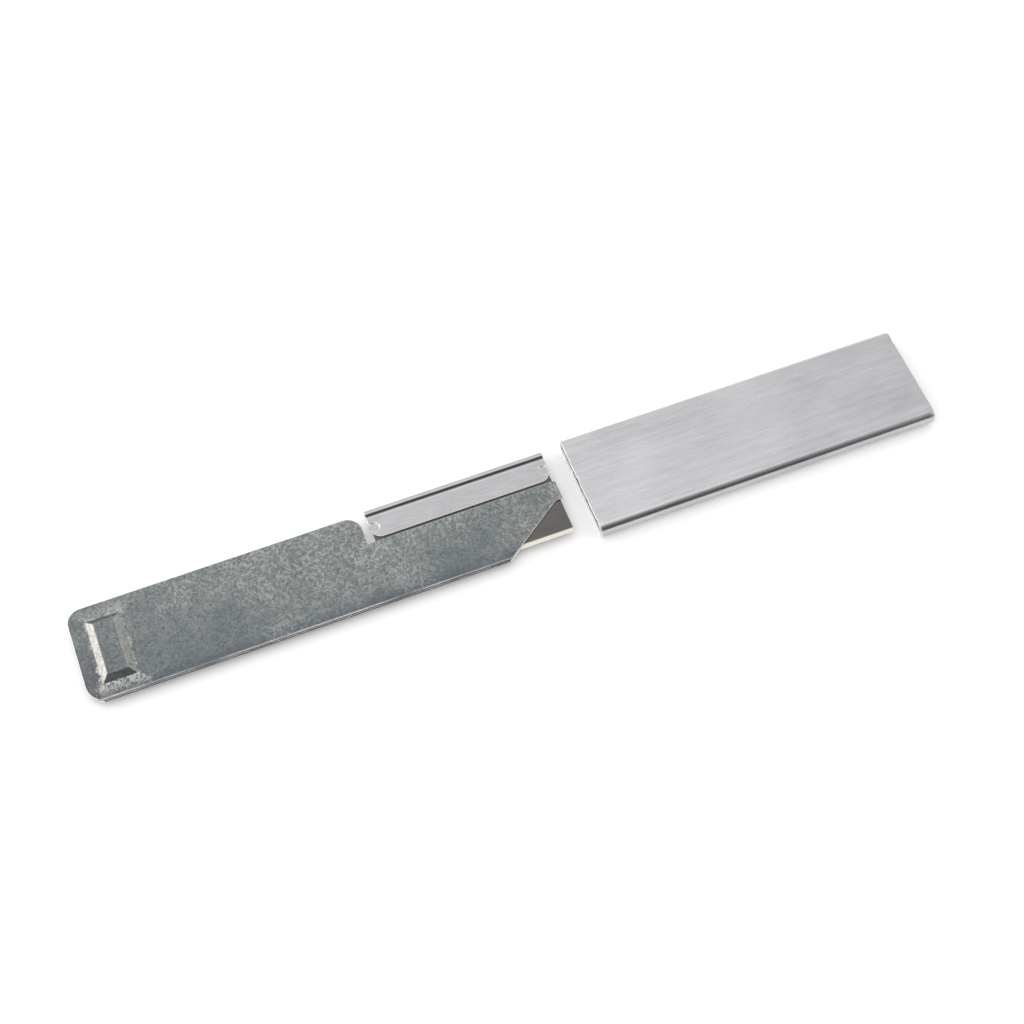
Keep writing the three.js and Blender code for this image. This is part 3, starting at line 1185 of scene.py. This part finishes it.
        def on_ridge(edge: bmesh.types.BMEdge) -> bool:
            """Says whether an edge runs up one of the boss's four corners.

            Args:
                edge: an edge of the sheet.

            Returns:
                Whether it does.
            """
            run = edge.verts[1].co - edge.verts[0].co
            on_boss = rear < middle(edge).x < front and near < middle(edge).y < far
            return on_boss and at(abs(run.x), abs(run.y)) and middle(edge).z > self.top

        round_off(Part.EDGES, on_ridge, self.boss_ridge_round, self.ridge_steps)

    def _bend_lip(self) -> None:
        """Bends the upper leaf's front edge down past the blade's end."""
        bend = self.lip_bend + self.sheet
        pick(Part.EDGES, lambda edge: at(middle(edge).x, self.front) and at(middle(edge).z, self.top))
        sweep(90, Vector((self.front, 0, self.top - bend)), Y_AXIS, self.lip_steps)
        pull(Vector((0, 0, self.lip_lift + bend - self.top)))

    def dress(self, sheet: bpy.types.Object) -> None:
        """Gives the sheet to its body."""
        hand_over(sheet, Body.CARRIER, "carrier")


@dataclass
class BladeUnit:
    """The single-edge blade and the spine that is folded over its back."""

    bevel: float = 0.85
    honed: float = 0.22
    honed_thickness: float = 0.1
    notch_radius: float = 1.1
    notch_height: float = 1
    spine_wall: float = 0.3
    skirt_half: float = 0.455
    bead_corner: float = 0.7
    bead_flare: float = 1
    bead_steps: int = 9
    skirt_corner: float = 2.3
    skirt_steps: int = 10
    crimp_from_end: float = 0.95
    crimp_above_skirt: float = 2.5
    crimp_radius: float = 1.1
    crimp_depth: float = 0.25
    crimp_floor: float = 0.92
    crimp_reach: float = 0.6
    round_sides: int = 40
    edge_break: float = 0.09
    edge_turn: float = 35

    def __post_init__(self) -> None:
        """Takes the overall sizes from the frame."""
        self.blade_low, self.blade_high = box_of("blade")
        self.spine_low, self.spine_high = box_of("blade_spine")
        self.level = (self.blade_low.z + self.blade_high.z) / 2
        self.bead_half = self.spine_high.z - self.level
        self.crimp_y = self.spine_low.y + self.crimp_above_skirt
        self.crimp_xs = (self.spine_low.x + self.crimp_from_end, self.spine_high.x - self.crimp_from_end)

    def build_blade(self) -> bpy.types.Object:
        """Models the blade with its ground edge and its two notches.

        Returns:
            The blade, in millimetres.
        """
        low, high = self.blade_low, self.blade_high
        blade = add_block("blade_strip", low, high)
        coat(blade, BLADE_STEEL.material(), GROUND_EDGE.material())
        with editing(blade):
            for place in (low.y + self.bevel, low.y + self.honed):
                cut_through(Vector((0, place, 0)), Y_AXIS)
            hub = Vector((0, low.y, self.level))
            pick(Part.CORNERS, lambda corner: at(corner.co.y, low.y + self.honed))
            share = self.honed_thickness / (high.z - low.z)
            bpy.ops.transform.resize(value=(1, 1, share), center_override=hub)
            pick(Part.CORNERS, lambda corner: at(corner.co.y, low.y))
            bpy.ops.transform.resize(value=(1, 1, 0), center_override=hub)
            close_doubles()
        for place, end in zip(self.crimp_xs, (low.x, high.x)):
            carve(blade, self._notch(place, end))
        for face in blade.data.polygons:
            ground = face.center.y < low.y + self.bevel and abs(face.normal.x) < MOSTLY
            face.material_index = Coat.EDGE if ground else Coat.FACE
        return blade

    def _notch(self, place: float, end: float) -> bpy.types.Object:
        """A cutting shape for one notch: round inside, and open at the blade's end.

        Args:
            place: where the notch's round part is centred.
            end: where the blade ends.

        Returns:
            The cutting shape.
        """
        centre = Vector((place, self.crimp_y, self.level))
        tool = add_post("notch", centre, self.notch_radius, self.notch_height, self.round_sides)
        outward = math.copysign(1, end - place)
        with editing(tool):
            pick(Part.CORNERS, lambda corner: (corner.co.x - place) * outward > -NEAR)
            bpy.ops.transform.translate(value=(outward * 2 * self.notch_radius, 0, 0))
        return tool

    def _half_section(self) -> list[Pair]:
        """Half of the spine's section: up the flare, over the bead's edge and down to the middle of its back.

        Returns:
            Steps towards the back and upward.
        """
        reach = self.bead_corner + self.bead_flare
        slant = math.acos(1 - (self.bead_half - self.skirt_half) / reach)
        flare = arc_steps(self.bead_flare, 0, slant, self.bead_steps)
        edge = arc_steps(self.bead_corner, slant, -math.pi / 2, 2 * self.bead_steps)
        return [*flare, *edge, (0, self.bead_corner - self.bead_half)]

    def build_spine(self) -> bpy.types.Object:
        """Folds the spine over the blade's back and crimps it.

        Returns:
            The spine, in millimetres.
        """
        low, high = self.spine_low, self.spine_high
        half = self._half_section()
        flat_end = high.y - sum(run for run, _ in half)
        height = self.level + self.skirt_half
        spine = add_leaf("spine_strip", Vector((low.x, low.y, height)), Vector((high.x, flat_end, height)))
        coat(spine, SPINE_STEEL.material(), CUT_EDGE.material())
        with editing(spine):
            pick(Part.EDGES, lambda edge: at(middle(edge).y, flat_end))
            for run, rise in half:
                pull(Vector((0, run, rise)))
            for run, rise in reversed(half):
                pull(Vector((0, -run, rise)))
            pull(Vector((0, low.y - flat_end, 0)))
            close_doubles()
            face_up(spine, height)
            round_off(
                Part.CORNERS,
                lambda corner: at(corner.co.y, low.y),
                self.skirt_corner,
                self.skirt_steps,
            )
        thicken(spine, self.spine_wall)
        for place in self.crimp_xs:
            for side in (-1, 1):
                carve(spine, self._crimp(place, side))
        break_edges(spine, self.edge_break, self.edge_turn)
        return spine

    def _crimp(self, place: float, side: int) -> bpy.types.Object:
        """A cutting shape for one crimp's dimple, which narrows to its floor.

        Args:
            place: where the crimp is centred along the spine.
            side: 1 for the upper skirt, -1 for the lower one.

        Returns:
            The cutting shape.
        """
        floor = self.level + side * (self.skirt_half - self.crimp_depth)
        floor_radius = self.crimp_radius * self.crimp_floor
        flare = (self.crimp_radius - floor_radius) / self.crimp_depth
        top_radius = floor_radius + flare * self.crimp_reach
        centre = Vector((place, self.crimp_y, floor + side * self.crimp_reach / 2))
        tool = add_post("crimp", centre, top_radius, self.crimp_reach, self.round_sides)
        share = floor_radius / top_radius
        with editing(tool):
            pick(Part.CORNERS, lambda corner: at(corner.co.z, floor))
            bpy.ops.transform.resize(value=(share, share, 1), center_override=centre)
        return tool

    def dress(self, blade: bpy.types.Object, spine: bpy.types.Object) -> None:
        """Gives both pieces to their body."""
        hand_over(blade, Body.BLADE_UNIT, "blade")
        hand_over(spine, Body.BLADE_UNIT, "blade_spine")


@dataclass(frozen=True)
class SoftBox:
    """A soft lamp that faces the middle of the table; its level adds to the room's. Lengths are metres."""

    name: str
    place: Triple
    size: Pair
    level: float

    def hang(self) -> None:
        """Adds the lamp."""
        data = bpy.data.lights.new(self.name, "AREA")
        data.shape = "RECTANGLE"
        data.size, data.size_y = self.size
        data.energy = self.level * math.pi * data.size * data.size_y
        lamp = bpy.data.objects.new(self.name, data)
        lamp.location = self.place
        lamp.rotation_euler = (-lamp.location).to_track_quat("-Z", "Y").to_euler()
        lamp.visible_camera = False
        bpy.context.scene.collection.objects.link(lamp)


@dataclass
class Studio:
    """A white table in a soft white room that darkens towards the camera's side, and the camera.

    The camera's distance is in millimetres and its angles are degrees. The floor is in metres.
    """

    azimuth: float = -21.2
    elevation: float = 61.5
    distance: float = 345
    nearest_seen: float = 10
    lens: float = 60.5
    floor_size: float = 12
    floor_colour: Colour = (0.96, 0.96, 0.96)
    floor_roughness: float = 0.9
    floor_lift: float = 0.14
    room_level: float = 1.15
    dark_side: Triple = (0.15, -0.944, 0.292)
    dark_squeeze: Triple = (1.8, 1, 1)
    dark_reach: Pair = (0.14, 1.44)
    dark_level: float = 0.08
    side_reach: Pair = (-0.1, 0.45)
    side_levels: Pair = (1.06, 0.82)
    boxes: tuple[SoftBox, ...] = (
        SoftBox("left_box", (-0.6, 0.3, 0.24), (0.4, 0.34), 1.6),
        SoftBox("right_box", (0.54, -0.28, 0.3), (0.3, 0.3), 0.9),
        SoftBox("overhead_box", (0.02, -0.03, 0.6), (0.5, 0.36), 0.3),
    )

    def build(self) -> None:
        """Sets up everything round the object."""
        bpy.context.scene.view_settings.view_transform = "Standard"
        self._set_camera()
        self._set_room()
        self._lay_floor()
        for box in self.boxes:
            box.hang()

    def _set_camera(self) -> None:
        """Looks at the middle of the cutter from the photograph's side and height."""
        low, high = CAD_BOX
        across, up = math.radians(self.azimuth), math.radians(self.elevation)
        back = Vector((math.sin(across) * math.cos(up), -math.cos(across) * math.cos(up), math.sin(up)))
        data = bpy.data.cameras.new("camera")
        data.lens = self.lens
        data.clip_start = self.nearest_seen * MM
        camera = bpy.data.objects.new("camera", data)
        camera.location = (low + high) / 2 + back * self.distance * MM
        camera.rotation_euler = (-back).to_track_quat("-Z", "Y").to_euler()
        bpy.context.scene.collection.objects.link(camera)
        bpy.context.scene.camera = camera

    def _set_room(self) -> None:
        """Makes the surroundings white, a little dimmer to the right, and dark low on the camera's side."""
        board = NodeBoard(bpy.data.worlds.new("soft_room"))
        direction = board.add("TexCoord", {}).outputs["Generated"]
        offset = board.vector("SUBTRACT", direction, self.dark_side)
        squeezed = board.vector("MULTIPLY", offset, self.dark_squeeze)
        away = board.add("VectorMath", {0: squeezed, 1: squeezed}, operation="DOT_PRODUCT").outputs["Value"]
        rightward, _, _ = board.axes(direction)
        brighter = board.span(away, self.dark_reach, (self.dark_level, self.room_level))
        dimmer = board.span(rightward, self.side_reach, self.side_levels)
        board.set_shader(Color=solid(WHITE), Strength=board.math("MULTIPLY", brighter, dimmer))
        bpy.context.scene.world = board.owner

    def _lay_floor(self) -> None:
        """Lays the white table top, which is seen a little lighter than it is lit."""
        clear_bench()
        bpy.ops.mesh.primitive_plane_add(size=self.floor_size)
        floor = bpy.context.object
        floor.name = "table_top"
        board = finish_board("white_table")
        path = board.add("LightPath", {}).outputs
        rays = ("Is Camera Ray", "Is Glossy Ray", "Is Transmission Ray")
        seen = board.math("MAXIMUM", *(path[ray] for ray in rays))
        board.set_shader(
            Base_Color=solid(self.floor_colour),
            Roughness=self.floor_roughness,
            Specular_IOR_Level=0.0,
            Emission_Color=solid(WHITE),
            Emission_Strength=board.math("MULTIPLY", seen, self.floor_lift),
        )
        coat(floor, board.owner)


def main() -> None:
    """Builds the studio and the cutter's pieces in order."""
    logging.basicConfig(level=logging.INFO, format="%(name)s: %(message)s")
    Studio().build()
    carrier = Carrier()
    carrier.dress(carrier.build())
    unit = BladeUnit()
    unit.dress(unit.build_blade(), unit.build_spine())
    sleeve = Sleeve()
    sleeve.dress(sleeve.build())


if __name__ == "__main__":
    main()
